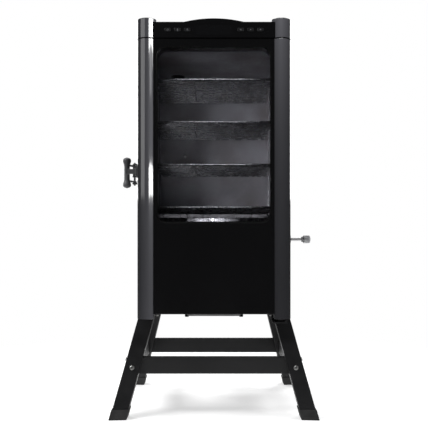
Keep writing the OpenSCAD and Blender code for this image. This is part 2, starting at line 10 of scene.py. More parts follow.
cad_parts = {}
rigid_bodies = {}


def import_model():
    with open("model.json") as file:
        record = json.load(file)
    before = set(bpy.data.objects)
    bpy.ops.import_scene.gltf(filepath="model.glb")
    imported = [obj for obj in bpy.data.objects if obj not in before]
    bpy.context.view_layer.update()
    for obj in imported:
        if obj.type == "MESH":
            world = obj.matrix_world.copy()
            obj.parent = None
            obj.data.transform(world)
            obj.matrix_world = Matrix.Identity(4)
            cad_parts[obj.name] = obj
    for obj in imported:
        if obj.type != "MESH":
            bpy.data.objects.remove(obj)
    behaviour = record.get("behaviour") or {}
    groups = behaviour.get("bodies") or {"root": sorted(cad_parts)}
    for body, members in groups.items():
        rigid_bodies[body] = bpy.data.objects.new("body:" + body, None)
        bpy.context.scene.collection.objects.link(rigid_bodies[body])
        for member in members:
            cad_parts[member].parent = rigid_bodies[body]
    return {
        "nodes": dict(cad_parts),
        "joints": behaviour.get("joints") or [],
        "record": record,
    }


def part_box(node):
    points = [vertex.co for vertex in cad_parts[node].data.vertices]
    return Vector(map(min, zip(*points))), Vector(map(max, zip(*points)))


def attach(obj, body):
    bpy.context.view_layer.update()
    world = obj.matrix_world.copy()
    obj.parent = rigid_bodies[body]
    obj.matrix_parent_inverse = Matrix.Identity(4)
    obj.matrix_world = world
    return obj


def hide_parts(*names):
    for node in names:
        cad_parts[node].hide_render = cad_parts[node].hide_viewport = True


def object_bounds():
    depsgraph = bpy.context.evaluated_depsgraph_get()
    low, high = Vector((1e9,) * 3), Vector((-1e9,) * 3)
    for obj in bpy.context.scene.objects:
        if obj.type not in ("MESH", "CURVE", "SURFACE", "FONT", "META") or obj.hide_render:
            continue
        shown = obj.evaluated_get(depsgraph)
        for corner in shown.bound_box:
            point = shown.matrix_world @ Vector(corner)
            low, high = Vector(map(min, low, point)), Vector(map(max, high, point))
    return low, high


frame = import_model()
CAD_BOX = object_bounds()
RECORD = frame["record"]
MM = 0.001
SEAM = 0.01 * MM
SHARP_DEGREES = 38
LEVELS = (1, 2, 3, 4)


# ---------- shader helpers ----------

def shader(name):
    """A new material with one Principled surface. Returns the material, its tree and the Principled node."""
    made = bpy.data.materials.new(name)
    made.use_nodes = True
    tree = made.node_tree
    return made, tree, tree.nodes["Principled BSDF"]


def add(tree, kind, inputs=None, **attributes):
    """A node with its attributes and inputs set. A socket given as an input is linked."""
    made = tree.nodes.new(kind)
    for key, value in attributes.items():
        setattr(made, key, value)
    for key, value in (inputs or {}).items():
        if isinstance(value, bpy.types.NodeSocket):
            tree.links.new(value, made.inputs[key])
        else:
            made.inputs[key].default_value = value
    return made


def place_of(tree, stretch=(1, 1, 1)):
    """The piece's own coordinates in metres, stretched along each axis."""
    coordinates = add(tree, "ShaderNodeTexCoord")
    inputs = {"Vector": coordinates.outputs["Object"], "Scale": stretch}
    return add(tree, "ShaderNodeMapping", inputs).outputs["Vector"]


def noise(tree, scale, detail=4.0, stretch=(1, 1, 1), roughness=0.55):
    """Cloud noise in the piece's own coordinates, about 0.3 to 0.7."""
    inputs = {"Vector": place_of(tree, stretch), "Scale": scale, "Detail": detail, "Roughness": roughness}
    return add(tree, "ShaderNodeTexNoise", inputs).outputs["Fac"]


def spread(tree, value, low, high, start=0.3, end=0.7):
    """Maps a noise value to the range from low to high."""
    inputs = {"Value": value, "From Min": start, "From Max": end, "To Min": low, "To Max": high}
    return add(tree, "ShaderNodeMapRange", inputs).outputs["Result"]


def mixed(tree, amount, first, second):
    """first where amount is 0 and second where it is 1; each is a colour or a socket."""
    made = add(tree, "ShaderNodeMix", data_type="RGBA")
    tree.links.new(amount, made.inputs["Factor"])
    for key, value in (("A", first), ("B", second)):
        socket = next(s for s in made.inputs if s.name == key and s.type == "RGBA")
        if isinstance(value, bpy.types.NodeSocket):
            tree.links.new(value, socket)
        else:
            socket.default_value = (*value, 1)
    return next(s for s in made.outputs if s.type == "RGBA")


def bumped(tree, height, strength, distance):
    """A surface normal tilted by a height socket."""
    inputs = {"Height": height, "Strength": strength, "Distance": distance}
    return add(tree, "ShaderNodeBump", inputs).outputs["Normal"]


def product(tree, first, second):
    """Two values or sockets multiplied."""
    made = add(tree, "ShaderNodeMath", {0: first, 1: second}, operation="MULTIPLY")
    return made.outputs[0]


def edge_mask(tree, radius):
    """1 along outside edges and corners, broken up by noise, and 0 on open faces."""
    rounded = add(tree, "ShaderNodeBevel", {"Radius": radius}, samples=4).outputs["Normal"]
    flat = add(tree, "ShaderNodeNewGeometry").outputs["Normal"]
    likeness = add(tree, "ShaderNodeVectorMath", {0: rounded, 1: flat}, operation="DOT_PRODUCT")
    edge = spread(tree, likeness.outputs["Value"], 1.0, 0.0, 0.80, 0.985)
    return product(tree, edge, spread(tree, noise(tree, 90), 0.0, 1.0, 0.48, 0.66))


def wire(tree, surface, **sockets):
    """Links or sets the Principled node's inputs, named with underscores for spaces."""
    for key, value in sockets.items():
        socket = surface.inputs[key.replace("_", " ")]
        if isinstance(value, bpy.types.NodeSocket):
            tree.links.new(value, socket)
        elif socket.type == "RGBA":
            socket.default_value = (*value, 1)
        else:
            socket.default_value = value


# ---------- families of finishes ----------

def powder_coat(name, colour, rough, grain, depth, worn=(0.20, 0.20, 0.21)):
    """Baked powder paint: orange-peel grain, cloudy gloss and bare metal where edges rub."""
    made, tree, surface = shader(name)
    cloud = noise(tree, 6, 5)
    faded = tuple(c * 1.7 + 0.004 for c in colour)
    paint = mixed(tree, spread(tree, cloud, 0, 1), colour, faded)
    rub = edge_mask(tree, 1.2 * MM)
    peel = bumped(tree, noise(tree, grain, 3), 0.35, depth)
    wire(tree, surface, Base_Color=mixed(tree, product(tree, rub, 0.55), paint, worn),
         Roughness=spread(tree, noise(tree, 24, 6), rough - 0.07, rough + 0.09), Normal=peel,
         Specular_IOR_Level=0.35)
    return made


def gloss_enamel(name, colour, rough, coat=0.6):
    """Smooth shiny paint or moulding with faint waviness, fine dust and hairline polish marks."""
    made, tree, surface = shader(name)
    dust = spread(tree, noise(tree, 420, 2), 0, 1, 0.60, 0.78)
    smear = spread(tree, noise(tree, 9, 6, (1, 1, 0.5)), rough, rough + 0.10)
    wave = bumped(tree, noise(tree, 16, 2), 0.06, 1.0 * MM)
    dusty = tuple(c + 0.004 for c in colour)
    wire(tree, surface, Base_Color=mixed(tree, product(tree, dust, 0.5), colour, dusty), Roughness=smear,
         Normal=wave, Coat_Weight=coat, Coat_Roughness=0.06)
    return made


def brushed_steel(name, colour, rough, grain=(6, 6, 500), stain=0.0, metallic=1.0):
    """Rolled or brushed sheet: fine parallel scratches, cloudy colour and an optional brown smoke stain."""
    made, tree, surface = shader(name)
    scratch = noise(tree, 1.0, 6, grain, 0.7)
    cloud = spread(tree, noise(tree, 7, 5), 0, 1)
    bright = mixed(tree, cloud, colour, tuple(c * 0.74 for c in colour))
    smoke = product(tree, spread(tree, noise(tree, 11, 7), 0, 1, 0.40, 0.70), stain)
    wire(tree, surface, Base_Color=mixed(tree, smoke, bright, (0.09, 0.055, 0.03)), Metallic=metallic,
         Roughness=spread(tree, scratch, rough - 0.08, rough + 0.14),
         Normal=bumped(tree, scratch, 0.25, 0.05 * MM))
    return made


def moulded(name, colour, rough, grain=900, depth=0.05 * MM):
    """Moulded plastic or rubber with a fine spark-eroded grain and a slightly chalky bloom."""
    made, tree, surface = shader(name)
    bloom = spread(tree, noise(tree, 30, 5), 0, 1, 0.42, 0.72)
    chalk = tuple(c * 1.5 + 0.012 for c in colour)
    wire(tree, surface, Base_Color=mixed(tree, bloom, colour, chalk),
         Roughness=spread(tree, noise(tree, 60, 4), rough - 0.06, rough + 0.08),
         Normal=bumped(tree, noise(tree, grain, 2), 0.4, depth))
    return made


# ---------- one finish per material slot ----------

def stand_paint():
    return powder_coat("stand_paint", (0.006, 0.006, 0.0065), 0.46, 700, 0.10 * MM)


def shell_paint():
    return powder_coat("shell_paint", (0.008, 0.008, 0.009), 0.48, 420, 0.18 * MM)


def frame_paint():
    return powder_coat("frame_paint", (0.012, 0.012, 0.013), 0.36, 600, 0.10 * MM)


def latch_black():
    return powder_coat("latch_black", (0.095, 0.095, 0.100), 0.42, 800, 0.06 * MM, (0.35, 0.35, 0.36))


def door_enamel():
    return gloss_enamel("door_enamel", (0.0012, 0.0012, 0.0015), 0.14)


def head_plastic():
    return gloss_enamel("head_plastic", (0.0015, 0.0015, 0.0020), 0.14)


def trim_black():
    return gloss_enamel("trim_black", (0.002, 0.002, 0.002), 0.22, 0.3)


def loader_black():
    return moulded("loader_black", (0.012, 0.012, 0.013), 0.38)


def display_glass():
    return gloss_enamel("display_glass", (0.0012, 0.0014, 0.002), 0.05, 1.0)


def column_metal():
    """Dark grey metallic lacquer over drawn tube, with sharp reflections only in its clear coat."""
    made, tree, surface = shader("column_metal")
    drawn = noise(tree, 1.0, 4, (420, 420, 2.5), 0.6)
    cloud = spread(tree, noise(tree, 5, 4, (1, 1, 0.3)), 0, 1)
    wire(tree, surface, Base_Color=mixed(tree, cloud, (0.036, 0.036, 0.040), (0.029, 0.029, 0.032)),
         Metallic=0.12, Specular_IOR_Level=0.03, Roughness=spread(tree, drawn, 0.36, 0.48),
         Normal=bumped(tree, drawn, 0.06, 0.03 * MM), Coat_Weight=1.0, Coat_Roughness=0.07)
    return made


def liner_steel():
    return brushed_steel("liner_steel", (0.46, 0.46, 0.48), 0.42, (5, 5, 420), 0.45, 0.6)


def bright_steel():
    return brushed_steel("bright_steel", (0.58, 0.58, 0.59), 0.20, (60, 5, 5), 0.12)


def tray_steel():
    return brushed_steel("tray_steel", (0.42, 0.42, 0.43), 0.34, (5, 420, 5), 0.45)


def fastener():
    return brushed_steel("fastener", (0.46, 0.46, 0.45), 0.30, (260, 260, 260), 0.05)


def rack_chrome():
    """Plated wire: bright, with slight orange peel and brownish heat bloom."""
    made, tree, surface = shader("rack_chrome")
    bloom = product(tree, spread(tree, noise(tree, 14, 5), 0, 1, 0.48, 0.75), 0.35)
    wire(tree, surface, Base_Color=mixed(tree, bloom, (0.72, 0.73, 0.74), (0.42, 0.34, 0.25)),
         Metallic=1.0, Roughness=spread(tree, noise(tree, 50, 3), 0.20, 0.32),
         Normal=bumped(tree, noise(tree, 120, 2), 0.05, 0.05 * MM))
    return made


def element_sheath():
    """Heat-stained steel sheath: straw to blue-grey bands with a dry oxide skin."""
    made, tree, surface = shader("element_sheath")
    band = spread(tree, noise(tree, 9, 3, (1, 1.6, 1)), 0, 1)
    wire(tree, surface, Base_Color=mixed(tree, band, (0.17, 0.12, 0.08), (0.07, 0.075, 0.09)),
         Metallic=0.85, Roughness=spread(tree, noise(tree, 70, 4), 0.42, 0.62),
         Normal=bumped(tree, noise(tree, 500, 3), 0.3, 0.06 * MM))
    return made


def foot_plastic():
    return moulded("foot_plastic", (0.010, 0.010, 0.010), 0.66, 500, 0.12 * MM)


def gland_rubber():
    return moulded("gland_rubber", (0.012, 0.012, 0.012), 0.58)


def seal_rubber():
    return moulded("seal_rubber", (0.022, 0.022, 0.024), 0.72, 700, 0.10 * MM)


def cap_plastic():
    return moulded("cap_plastic", (0.014, 0.014, 0.014), 0.50)


def button_plastic():
    return moulded("button_plastic", (0.012, 0.012, 0.013), 0.42, 1200, 0.03 * MM)


def knob_grey():
    return moulded("knob_grey", (0.62, 0.63, 0.64), 0.34, 1100, 0.02 * MM)


def icon_print():
    return moulded("icon_print", (0.30, 0.31, 0.33), 0.5, 1500, 0.01 * MM)


def circuit():
    """Green solder mask over faint copper tracks."""
    made, tree, surface = shader("circuit")
    inputs = {"Vector": place_of(tree), "Scale": 260.0}
    tracks = add(tree, "ShaderNodeTexVoronoi", inputs, feature="DISTANCE_TO_EDGE").outputs["Distance"]
    copper = spread(tree, tracks, 1, 0, 0.02, 0.06)
    wire(tree, surface, Base_Color=mixed(tree, copper, (0.012, 0.075, 0.03), (0.04, 0.16, 0.06)),
         Roughness=spread(tree, noise(tree, 80), 0.28, 0.42), Normal=bumped(tree, copper, 0.3, 0.05 * MM))
    return made


def glass_wool():
    """Matted yellow mineral wool."""
    made, tree, surface = shader("glass_wool")
    mat = noise(tree, 160, 8, (1, 1, 3), 0.75)
    wire(tree, surface,
         Base_Color=mixed(tree, spread(tree, mat, 0, 1), (0.55, 0.44, 0.18), (0.72, 0.64, 0.36)),
         Roughness=spread(tree, noise(tree, 40), 0.88, 0.98), Normal=bumped(tree, mat, 0.9, 1.5 * MM))
    return made


def smoked_glass():
    """Dark toughened glass: see-through, mirror-like at a slant, with a faint smoke haze."""
    made, tree, surface = shader("smoked_glass")
    haze = spread(tree, noise(tree, 8, 6), 0.01, 0.05, 0.40, 0.75)
    wire(tree, surface, Base_Color=(0.006, 0.006, 0.007), Specular_IOR_Level=0.6,
         Roughness=spread(tree, noise(tree, 12, 4), 0.02, 0.07))
    clear = add(tree, "ShaderNodeBsdfTransparent", {"Color": (0.90, 0.90, 0.91, 1)})
    slant = add(tree, "ShaderNodeFresnel", {"IOR": 1.45}).outputs[0]
    share = add(tree, "ShaderNodeMath", {0: slant, 1: haze}, operation="ADD", use_clamp=True)
    both = add(tree, "ShaderNodeMixShader", {0: share.outputs[0]})
    tree.links.new(clear.outputs[0], both.inputs[1])
    tree.links.new(surface.outputs[0], both.inputs[2])
    tree.links.new(both.outputs[0], tree.nodes["Material Output"].inputs["Surface"])
    return made


FINISHES = {made.__name__: made() for made in (
    stand_paint, foot_plastic, fastener, shell_paint, frame_paint, glass_wool, liner_steel, bright_steel,
    tray_steel, element_sheath, gland_rubber, head_plastic, display_glass, circuit, button_plastic,
    door_enamel, column_metal, cap_plastic, trim_black, smoked_glass, seal_rubber, latch_black,
    rack_chrome, loader_black, knob_grey, icon_print)}


# ---------- CAD nodes: finish and softened edges ----------

def paint(piece, finish):
    piece.data.materials.clear()
    piece.data.materials.append(FINISHES[finish])
    return piece


def rounded(piece, width):
    """Rounds the edges of a mesh and evens out its shading."""
    edge = piece.modifiers.new("edge", "BEVEL")
    edge.width = width
    edge.segments = 2
    edge.limit_method = "ANGLE"
    edge.angle_limit = math.radians(SHARP_DEGREES)
    piece.modifiers.new("shade", "WEIGHTED_NORMAL").keep_sharp = True
    return piece


def soften(piece, width):
    """Joins a CAD mesh along its seams, flattens its facets and rounds its edges."""
    weld = piece.modifiers.new("weld", "WELD")
    weld.merge_threshold = SEAM
    flat = piece.modifiers.new("flat", "DECIMATE")
    flat.decimate_type = "DISSOLVE"
    flat.angle_limit = math.radians(0.5)
    rounded(piece, width)


EDGE_WIDTHS = {
    "stand_paint": 2.0, "foot_plastic": 2.5, "shell_paint": 0.5, "frame_paint": 0.4, "head_plastic": 1.6,
    "display_glass": 0.4, "button_plastic": 0.8, "door_enamel": 0.6, "column_metal": 0.5, "cap_plastic": 0.8,
    "trim_black": 0.4, "smoked_glass": 0.8, "bright_steel": 0.3, "loader_black": 0.8, "gland_rubber": 0.8,
    "tray_steel": 0.3, "liner_steel": 0.3,
}


def finish_cad_nodes():
    for part in RECORD["subparts"]:
        name, finish = part["node"], part["material_slot"]
        paint(frame["nodes"][name], finish)
        if finish in EDGE_WIDTHS:
            soften(frame["nodes"][name], EDGE_WIDTHS[finish] * MM)


# ---------- mesh helpers ----------

def piece_of(name, mesh_data, body, finish, replaced=(), smooth=True):
    """Makes an object of a bmesh, finishes it and lets it ride on its body."""
    mesh = bpy.data.meshes.new(name)
    bmesh.ops.recalc_face_normals(mesh_data, faces=mesh_data.faces)
    mesh_data.to_mesh(mesh)
    mesh_data.free()
    made = bpy.data.objects.new(name, mesh)
    bpy.context.scene.collection.objects.link(made)
    for face in mesh.polygons:
        face.use_smooth = smooth
    paint(made, finish)
    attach(made, body)
    if replaced:
        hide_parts(*replaced)
    return made


def bridge(data, rings, closed_ends=True):
    """Skins rings of equal point counts, in order, into a tube."""
    rows = [[data.verts.new(p) for p in ring] for ring in rings]
    count = len(rows[0])
    for low, high in zip(rows, rows[1:]):
        for i in range(count):
            j = (i + 1) % count
            data.faces.new((low[i], low[j], high[j], high[i]))
    if closed_ends:
        data.faces.new(rows[0])
        data.faces.new(rows[-1])
    return rows


def lathe(data, profile, place, axis, steps=48, flutes=0, depth=0.0, fluted=()):
    """Turns a profile of (distance, radius) round an axis; the rings listed in fluted are scalloped."""
    along = Vector(axis).normalized()
    side = along.orthogonal().normalized()
    up = along.cross(side)
    rings = []
    for index, (distance, radius) in enumerate(profile):
        ring = []
        for i in range(steps):
            turn = 2 * math.pi * i / steps
            bite = depth * (0.5 + 0.5 * math.cos(flutes * turn)) if index in fluted else 0.0
            reach = radius - bite
            ring.append(Vector(place) + along * distance
                        + side * (reach * math.cos(turn)) + up * (reach * math.sin(turn)))
        rings.append(ring)
    bridge(data, rings)


def round_rectangle(low, high, radius, steps=6):
    """Points of a rounded rectangle, anticlockwise."""
    points = []
    corners = ((high[0], high[1], 0), (low[0], high[1], 90), (low[0], low[1], 180), (high[0], low[1], 270))
    for x, y, start in corners:
        cx = x - math.copysign(radius, x - (low[0] + high[0]) / 2)
        cy = y - math.copysign(radius, y - (low[1] + high[1]) / 2)
        for i in range(steps + 1):
            turn = math.radians(start + 90 * i / steps)
            points.append((cx + radius * math.cos(turn), cy + radius * math.sin(turn)))
    return points


def box_mesh(data, low, high, turn=None):
    """A box between two corners, optionally turned by a matrix, for joining into a larger piece."""
    made = bmesh.ops.create_cube(data, size=1)
    centre, size = (Vector(low) + Vector(high)) / 2, Vector(high) - Vector(low)
    matrix = Matrix.Translation(centre) @ Matrix.Diagonal((*size, 1))
    bmesh.ops.transform(data, matrix=(turn or Matrix.Identity(4)) @ matrix, verts=made["verts"])


# ---------- trays and bowl ----------

def pressed_tray(name, node, body, finish, lip, rim_radius, corner, fillet, draft):
    """A deep-drawn tray inside a CAD node's box: flat lip, rolled rim, leaning walls, rounded bottom edge."""
    low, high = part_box(node)
    top, floor = high.z - rim_radius, low.z + 0.7 * MM
    steps = [(0.4 * rim_radius, -0.9 * rim_radius), (0, 0), (0.5 * rim_radius, 0.8 * rim_radius),
             (1.6 * rim_radius, 0.95 * rim_radius), (lip - 2 * MM, 0.5 * rim_radius), (lip, -1.5 * MM)]
    profile = [(inset, top + rise) for inset, rise in steps]
    wall = top - floor - fillet
    lean = draft * wall
    for share in (0.08, 0.92):
        profile.append((lip + share * lean, top - share * wall))
    for i in range(7):
        turn = math.radians(15 * i)
        inset = lip + lean + fillet * (1 - math.cos(turn))
        profile.append((inset, floor + fillet * (1 - math.sin(turn))))
    profile.append((lip + lean + fillet + 12 * MM, floor))
    rings = []
    for inset, z in profile:
        radius = max(corner + lip - inset, 3 * MM)
        outline = round_rectangle((low.x + inset, low.y + inset), (high.x - inset, high.y - inset), radius)
        rings.append([(x, y, z) for x, y in outline])
    data = bmesh.new()
    rows = bridge(data, rings, closed_ends=False)
    data.faces.new(rows[-1])
    made = piece_of(name, data, body, finish, (node,))
    skin = made.modifiers.new("sheet", "SOLIDIFY")
    skin.thickness = 0.8 * MM
    skin.offset = 1.0
    return made


def water_bowl():
    return pressed_tray("water_bowl_pressed", "water_bowl", "bowl", "bright_steel",
                        9 * MM, 1.0 * MM, 28 * MM, 9 * MM, 0.02)


# ---------- racks, latch, knob, seal ----------

def rack_front_rails():
    """The polished front rail of each rack, with rounded ends over the frame's corners."""
    for level in LEVELS:
        low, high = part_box(f"rack_{level}")
        radius = 3.15 * MM
        middle = Vector((low.x, low.y + 3 * MM, high.z - 3 * MM))
        length = high.x - low.x
        profile = [(3 * MM, radius * 0.8), (4 * MM, radius),
                   (length - 4 * MM, radius), (length - 3 * MM, radius * 0.8)]
        data = bmesh.new()
        lathe(data, profile, middle, (1, 0, 0), 20)
        piece_of(f"rack_{level}_front_rail", data, f"rack_{level}_body", "rack_chrome")


def latch_lever():
    """Turned grip with bulbous ends, two webs to the pivot and a bent claw."""
    low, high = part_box("latch_lever")
    grip_radius, waist, bulge = 12 * MM, 8.2 * MM, 3.6 * MM
    grip = Vector((low.x + grip_radius, 0, 0))
    points = np.array([v.co for v in frame["nodes"]["latch_lever"].data.vertices])
    ends = points[points[:, 2] > high.z - SEAM]
    grip.y = (ends[:, 1].min() + ends[:, 1].max()) / 2
    half = (high.z - low.z) / 2
    middle = (high.z + low.z) / 2
    data = bmesh.new()
    profile = []
    for i in range(33):
        along = -1 + 2 * i / 32
        bulb = math.exp(-((abs(along) - 0.78) / 0.2) ** 2)
        dome = math.sqrt(max(0.0, 1 - max(0.0, (abs(along) - 0.86) / 0.14) ** 2))
        profile.append((along * half, max(0.5 * MM, (waist + bulge * bulb) * dome)))
    lathe(data, profile, (grip.x, grip.y, middle), (0, 0, 1), 40)
    joint = next(j for j in frame["joints"] if j["name"] == "latch_turn")
    pivot = Vector(joint["pos_m"])
    reach = Vector((grip.x - pivot.x, grip.y - pivot.y, 0))
    turn = Matrix.Translation((pivot.x, pivot.y, 0)) @ Matrix.Rotation(math.atan2(reach.y, reach.x), 4, "Z")
    for z in (middle - 25 * MM, middle + 21 * MM):
        box_mesh(data, (0, -6 * MM, z), (reach.length, 6 * MM, z + 4 * MM), turn)
        lathe(data, [(0, 6 * MM), (4 * MM, 6 * MM)], (pivot.x, pivot.y, z), (0, 0, 1), 32)
    lathe(data, [(-34 * MM, 2.2 * MM), (-33 * MM, 3 * MM), (33 * MM, 3 * MM), (34 * MM, 2.2 * MM)],
          (pivot.x, pivot.y, middle), (0, 0, 1), 32)
    claw = points[points[:, 1] < low.y + 1 * MM]
    box_mesh(data, (grip.x + 2 * MM, low.y, middle - 7 * MM), (grip.x + 8 * MM, grip.y, middle + 7 * MM))
    box_mesh(data, (grip.x + 2 * MM, low.y, middle - 7 * MM),
             (claw[:, 0].max(), low.y + 5 * MM, middle + 7 * MM))
    made = piece_of("latch_lever_shaped", data, "latch", "latch_black", ("latch_lever",))
    return rounded(made, 1.0 * MM)


def loader_knob():
    """Round knob with scalloped grip, domed end and a collar on the spindle."""
    low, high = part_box("loader_knob")
    centre = ((low.y + high.y) / 2, (low.z + high.z) / 2)
    radius = (high.y - low.y) / 2
    length = high.x - low.x
    profile = [(0, 5.2 * MM), (0, 7 * MM), (0.6 * MM, 8 * MM), (4.5 * MM, 8 * MM),
               (5.5 * MM, radius - 1.5 * MM),
               (6.5 * MM, radius - 0.4 * MM), (8 * MM, radius), (length - 5 * MM, radius),
               (length - 2.2 * MM, radius - 0.9 * MM), (length - 0.8 * MM, radius - 3 * MM),
               (length, radius - 6 * MM), (length - 0.6 * MM, 2 * MM)]
    data = bmesh.new()
    lathe(data, profile, (low.x, *centre), (1, 0, 0), 96, 14, 1.3 * MM, (6, 7, 8))
    return piece_of("loader_knob_turned", data, "loader", "knob_grey", ("loader_knob",))


def door_seal():
    """A bulb seal: a soft tube of oval section, run round the door opening."""
    low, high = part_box("door_seal")
    tube = (high.y - low.y) / 2
    base = low.y + tube
    corner = 12 * MM
    half_width = 4 * MM
    section = []
    for i in range(16):
        turn = 2 * math.pi * i / 16
        section.append((half_width * math.cos(turn), tube * math.sin(turn)))
    rings = []
    for across, rise in section:
        inset = half_width + across
        outline = round_rectangle((low.x + inset, low.z + inset), (high.x - inset, high.z - inset),
                                  max(corner - inset, 1 * MM), 8)
        rings.append([(x, base + rise, z) for x, z in outline])
    data = bmesh.new()
    bridge(data, rings + rings[:1], closed_ends=False)
    bmesh.ops.remove_doubles(data, verts=data.verts, dist=0.001 * MM)
    return piece_of("door_seal_bulb", data, "door", "seal_rubber", ("door_seal",))


# ---------- fasteners ----------

def islands(node):
    """The separate solids of a CAD node, each as an array of its points."""
    data = bmesh.new()
    data.from_mesh(frame["nodes"][node].data)
    bmesh.ops.remove_doubles(data, verts=data.verts, dist=SEAM)
    seen, groups = set(), []
    for start in data.verts:
        if start in seen:
            continue
        group, waiting = [], [start]
        seen.add(start)
        while waiting:
            vertex = waiting.pop()
            group.append(vertex.co.copy())
            for edge in vertex.link_edges:
                other = edge.other_vert(vertex)
                if other not in seen:
                    seen.add(other)
                    waiting.append(other)
        groups.append(np.array(group))
    data.free()
    return groups


def stand_bolts():
    """Domed hexagon bolts with washers, one for each CAD bolt."""
    data = bmesh.new()
    for points in islands("stand_bolts"):
        axis = np.linalg.svd(points - points.mean(0))[2][0]
        along = (points - points.mean(0)) @ axis
        away = np.linalg.norm(points - points.mean(0) - np.outer(along, axis), axis=1)
        if along[away.argmax()] < 0:
            axis, along = -axis, -along
        head = along[away > 0.8 * away.max()]
        base, tip, radius = head.min(), along.max(), away.max()
        shank = away[along < base - 0.3 * MM].max()
        root = Vector(points.mean(0))
        height = tip - base
        lathe(data, [(along.min(), shank * 0.8), (along.min() + shank * 0.3, shank), (base, shank)],
              root, axis, 20)
        lathe(data, [(base, radius), (base + 0.25 * height, radius), (base + 0.3 * height, radius * 0.9)],
              root, axis, 32)
        lathe(data, [(base + 0.25 * height, radius * 0.86), (base + 0.85 * height, radius * 0.86),
                     (tip, radius * 0.62)], root, axis, 6)
    made = piece_of("stand_bolts_hex", data, "cabinet", "fastener", ("stand_bolts",), smooth=False)
    return rounded(made, 0.3 * MM)


def screw_row(name, places, normal, radius, body):
    """Pan-head screws, each with a low hexagon on its crown, at each place."""
    data = bmesh.new()
    for place in places:
        profile = [(0, radius), (0.25 * radius, radius),
                   (0.5 * radius, radius * 0.82), (0.6 * radius, radius * 0.5)]
        lathe(data, profile, place, normal, 24)
        lathe(data, [(0.5 * radius, radius * 0.3), (0.63 * radius, radius * 0.3)], place, normal, 6)
    return piece_of(name, data, body, "fastener")


def back_screws():
    """Screws along the back panel's four edges."""
    low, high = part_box("back_panel")
    inset, half_pitch = 14 * MM, 70 * MM
    rows = [low.z + inset + i * (high.z - low.z - 2 * inset) / 5 for i in range(6)]
    places = [(x, high.y, z) for z in rows for x in (low.x + inset, high.x - inset)]
    places += [(x, high.y, z) for x in (-half_pitch, half_pitch) for z in (rows[0], rows[-1])]
    return screw_row("back_panel_screws", places, (0, 1, 0), 4.2 * MM, "cabinet")


def side_screws():
    """Screws near the back edge of both cabinet sides."""
    low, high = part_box("outer_shell")
    inset = 30 * MM
    rows = [low.z + inset + i * (high.z - low.z - 2 * inset) / 3 for i in range(4)]
    for name, side, x in (("left", -1, low.x), ("right", 1, high.x)):
        places = [(x, high.y - 12 * MM, z) for z in rows]
        screw_row(f"side_screws_{name}", places, (side, 0, 0), 3.6 * MM, "cabinet")


def door_pan_screws():
    """Screws that hold the door's inner pan."""
    low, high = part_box("door_liner")
    inset, side_inset, hinge_inset = 20 * MM, 8 * MM, 18 * MM
    rows = [low.z + inset + i * (high.z - low.z - 2 * inset) / 4 for i in range(5)]
    places = [(x, high.y, z) for z in rows for x in (low.x + side_inset, high.x - hinge_inset)]
    return screw_row("door_pan_screws", places, (0, 1, 0), 2.6 * MM, "door")


# ---------- control head ----------

def column_tops():
    """Thin metal sleeves that carry the columns' finish over the round ends of the control head."""
    low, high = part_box("control_head")
    hinge = Vector(next(j for j in frame["joints"] if j["name"] == "door_swing")["pos_m"])
    radius = high.x - hinge.x
    height = high.z - low.z
    skin = 0.15 * MM
    profile = [(0, radius - 1 * MM), (0, radius + skin), (height - 1.2 * MM, radius + skin),
               (height - 0.4 * MM, radius - 0.3 * MM), (height + 0.05 * MM, radius - 1.4 * MM)]
    for side, name in ((-1, "left"), (1, "right")):
        data = bmesh.new()
        lathe(data, profile, (side * hinge.x, hinge.y, low.z), (0, 0, 1), 64)
        rounded(piece_of(f"column_top_{name}", data, "cabinet", "column_metal"), 0.3 * MM)


def icon_ring(data, place, outer, inner, start=0.0, end=360.0):
    """A flat ring or arc of print on a button, facing the front."""
    x, y, z = place
    steps_per_turn = 40
    count = max(8, int(steps_per_turn * (end - start) / 360))
    rows = []
    for i in range(count + 1):
        turn = math.radians(start + (end - start) * i / count)
        rows.append([data.verts.new((x + r * math.cos(turn), y, z + r * math.sin(turn)))
                     for r in (inner, outer)])
    for first, second in zip(rows, rows[1:]):
        data.faces.new((first[0], first[1], second[1], second[0]))


def icon_bar(data, place, half_x, half_z, turn=0.0):
    """A flat bar of print, turned about its middle."""
    x, y, z = place
    corners = []
    for sx, sz in ((-1, -1), (1, -1), (1, 1), (-1, 1)):
        dx, dz = sx * half_x, sz * half_z
        corners.append(data.verts.new((x + dx * math.cos(turn) - dz * math.sin(turn), y,
                                       z + dx * math.sin(turn) + dz * math.cos(turn))))
    data.faces.new(corners)


def draw_power(data, place):
    icon_ring(data, place, 2.6 * MM, 2.1 * MM, 120, 420)
    icon_bar(data, place + Vector((0, 0, 2.0 * MM)), 0.28 * MM, 1.5 * MM)


def draw_temp(data, place):
    icon_ring(data, place + Vector((0, 0, -1.5 * MM)), 1.5 * MM, 0.0)
    icon_bar(data, place + Vector((0, 0, 0.9 * MM)), 0.6 * MM, 2.1 * MM)


def draw_time(data, place):
    icon_ring(data, place, 2.7 * MM, 2.2 * MM)
    icon_bar(data, place + Vector((0, 0, 0.8 * MM)), 0.25 * MM, 1.0 * MM)
    icon_bar(data, place + Vector((0.6 * MM, 0, 0)), 0.8 * MM, 0.25 * MM)


def draw_light(data, place):
    icon_ring(data, place, 1.3 * MM, 0.0)
    for i in range(8):
        turn = math.pi * i / 4
        shift = Vector((2.3 * MM * math.cos(turn), 0, 2.3 * MM * math.sin(turn)))
        icon_bar(data, place + shift, 0.5 * MM, 0.2 * MM, turn)


def draw_arrow(data, place, sign):
    """A triangle that points up for a sign of 1 and down for -1."""
    outline = ((-2.4, -1.4), (2.4, -1.4), (0, 2))
    corners = [data.verts.new(place + Vector((x * MM, 0, sign * z * MM))) for x, z in outline]
    data.faces.new(corners)


